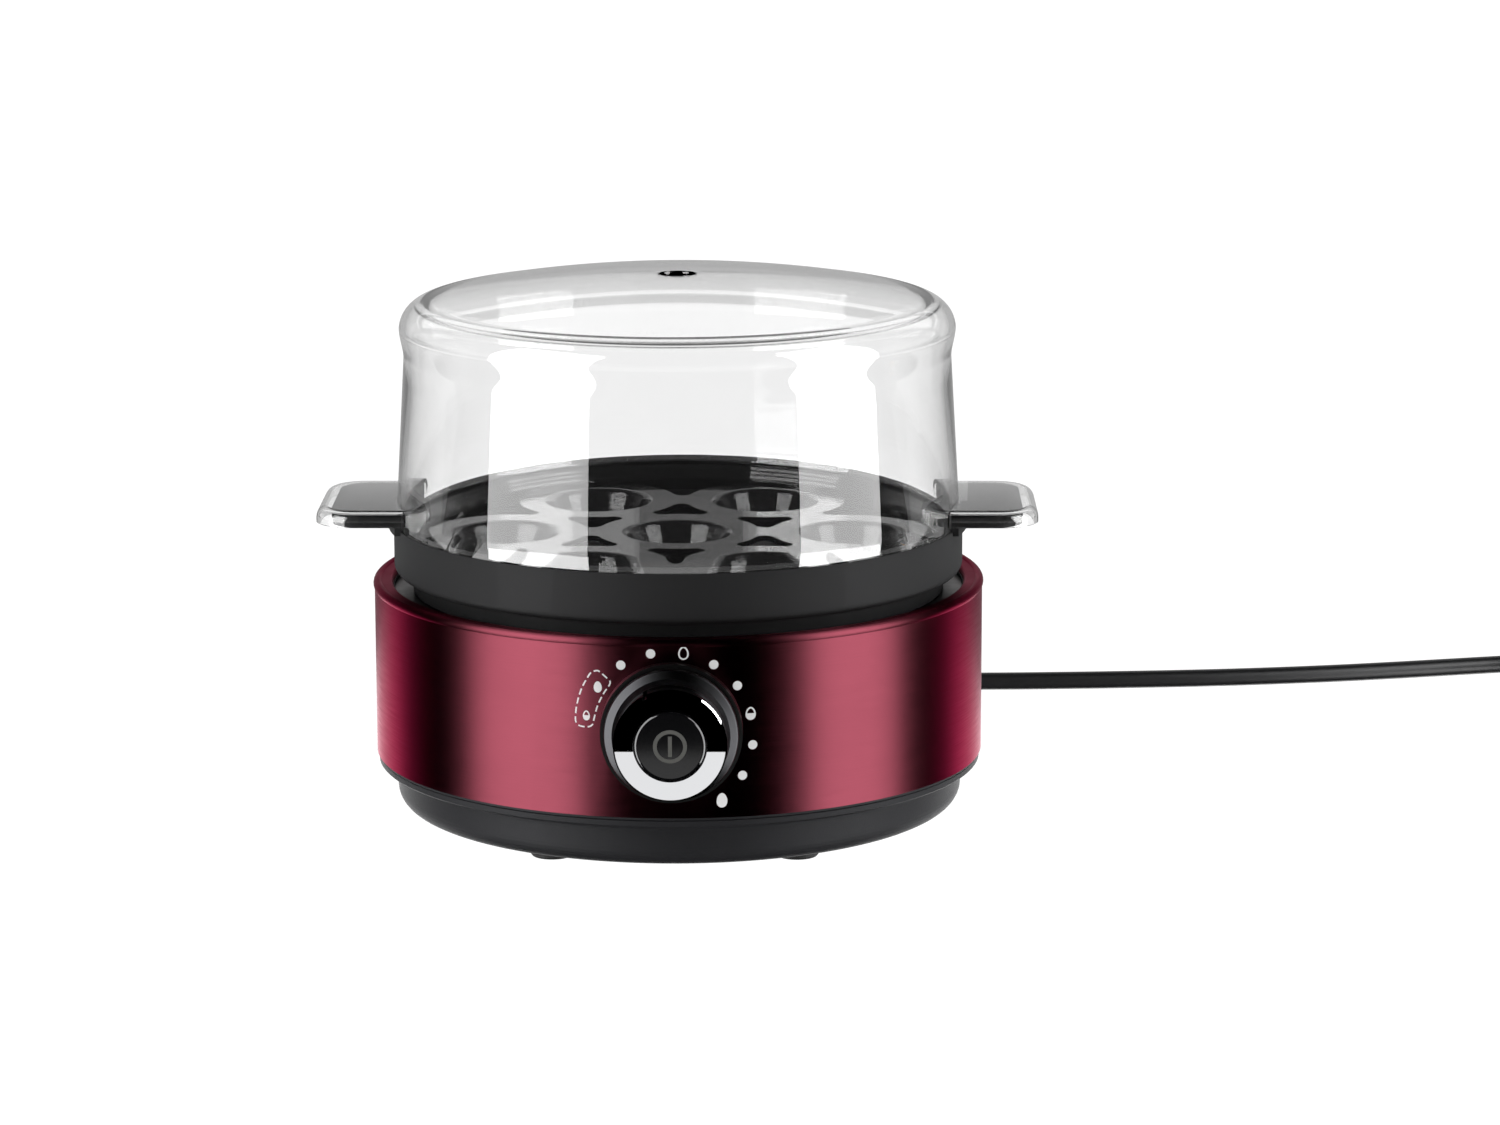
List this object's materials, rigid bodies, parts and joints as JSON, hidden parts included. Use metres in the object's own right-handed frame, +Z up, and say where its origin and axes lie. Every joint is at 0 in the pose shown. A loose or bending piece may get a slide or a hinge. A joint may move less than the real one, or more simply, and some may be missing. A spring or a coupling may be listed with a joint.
{
  "type": "egg cooker",
  "caption": "Round electric egg cooker: metal casing on a black base, heating bowl, lift-out egg tray, clear lid with two handles, timer knob with push button, and mains cord with plug.",
  "frame": {"origin": "on the axis of the round body, on the surface that the feet stand on", "axes": "+Z up along the body's axis; the knob faces -Y; the two handles point along +X and -X"},
  "size_m": [0.517, 0.3152, 0.1774],
  "materials": {
    "casing_red": "dark red lacquer over brushed steel, satin",
    "base_black": "satin black",
    "foot_rubber": "matt black",
    "tray_black": "gloss black",
    "lid_clear": "clear, polished",
    "knob_chrome": "bright chrome plating",
    "button_black": "gloss black",
    "bezel_black": "gloss black",
    "symbol_grey": "translucent grey",
    "bowl_metal": "satin, food grade",
    "heater_metal": "cast",
    "steel": "zinc plated",
    "ring_plastic": "glass-filled, black",
    "seal_silicone": "grey silicone",
    "ceramic": "ceramic, cream",
    "hub_plastic": "acetal, black",
    "gear_plastic": "acetal, natural",
    "pot_blue": "blue moulding",
    "switch_black": "black moulding",
    "switch_white": "white moulding",
    "lens_red": "clear red",
    "board_green": "solder resist",
    "relay_blue": "blue moulding",
    "component_dark": "sleeve",
    "terminal_white": "white moulding",
    "lead_sleeve": "silicone and glass fibre sleeve",
    "cord_black": "black PVC sheath",
    "plug_black": "black moulding",
    "pin_brass": "nickel plated brass"
  },
  "bodies": {
    "base": {"base_pan": "base_black", "foot_1": "foot_rubber", "foot_2": "foot_rubber", "foot_3": "foot_rubber", "foot_4": "foot_rubber", "foot_5": "foot_rubber", "foot_6": "foot_rubber", "outer_casing": "casing_red", "support_ring": "ring_plastic", "case_screws": "steel", "heating_bowl": "bowl_metal", "bowl_seal": "seal_silicone", "heater_plate": "heater_metal", "heating_element": "steel", "thermostat": "ceramic", "thermostat_strap": "steel", "strap_nuts": "steel", "thermal_fuse": "ceramic", "fuse_clip": "steel", "control_bracket": "ring_plastic", "bracket_screws": "steel", "knob_bezel": "bezel_black", "potentiometer": "pot_blue", "potentiometer_nut": "steel", "push_switch": "switch_black", "indicator_light": "lens_red", "circuit_board": "board_green", "board_screws": "steel", "relay": "relay_blue", "capacitor": "component_dark", "buzzer": "component_dark", "terminal_block": "terminal_white", "heater_leads": "lead_sleeve", "mains_lead": "cord_black", "cord_clamp": "ring_plastic", "clamp_screws": "steel", "strain_relief": "cord_black", "power_cord": "cord_black", "cord_coil": "cord_black", "cord_tie": "cord_black", "cord_tail": "cord_black", "plug_body": "plug_black", "plug_pins": "pin_brass"},
    "knob": {"knob": "knob_chrome", "drive_hub": "hub_plastic"},
    "timer_pot": {"potentiometer_shaft": "steel", "potentiometer_gear": "gear_plastic"},
    "button": {"button_cap": "button_black", "symbol_light_guide": "symbol_grey", "button_spring": "steel", "button_clip": "steel", "switch_plunger": "switch_white"},
    "tray": {"egg_tray": "tray_black"},
    "lid": {"lid": "lid_clear"}
  },
  "joints": [
    {"name": "tray_lift", "type": "slide", "parent": "base", "child": "tray", "axis": [0, 0, 1], "range_m": [0, 0.1]},
    {"name": "lid_lift", "type": "slide", "parent": "tray", "child": "lid", "axis": [0, 0, 1], "range_m": [0, 0.12]},
    {"name": "knob_turn", "type": "hinge", "parent": "base", "child": "knob", "pos_m": [0, -0.11, 0.0483], "axis": [0, 1, 0], "range_deg": [-51.6, 171.2]},
    {"name": "pot_turn", "type": "hinge", "parent": "base", "child": "timer_pot", "pos_m": [0.01556, -0.093, 0.03274], "axis": [0, 1, 0], "range_deg": [-206, 62]},
    {"name": "button_press", "type": "slide", "parent": "base", "child": "button", "axis": [0, 1, 0], "range_m": [0, 0.0025], "stiffness_N_per_m": 400, "springref_m": -0.003, "deforming": ["button_spring"]}
  ],
  "couplings": [
    {"joint": "pot_turn", "follows": "knob_turn", "ratio": -1.2}
  ]
}
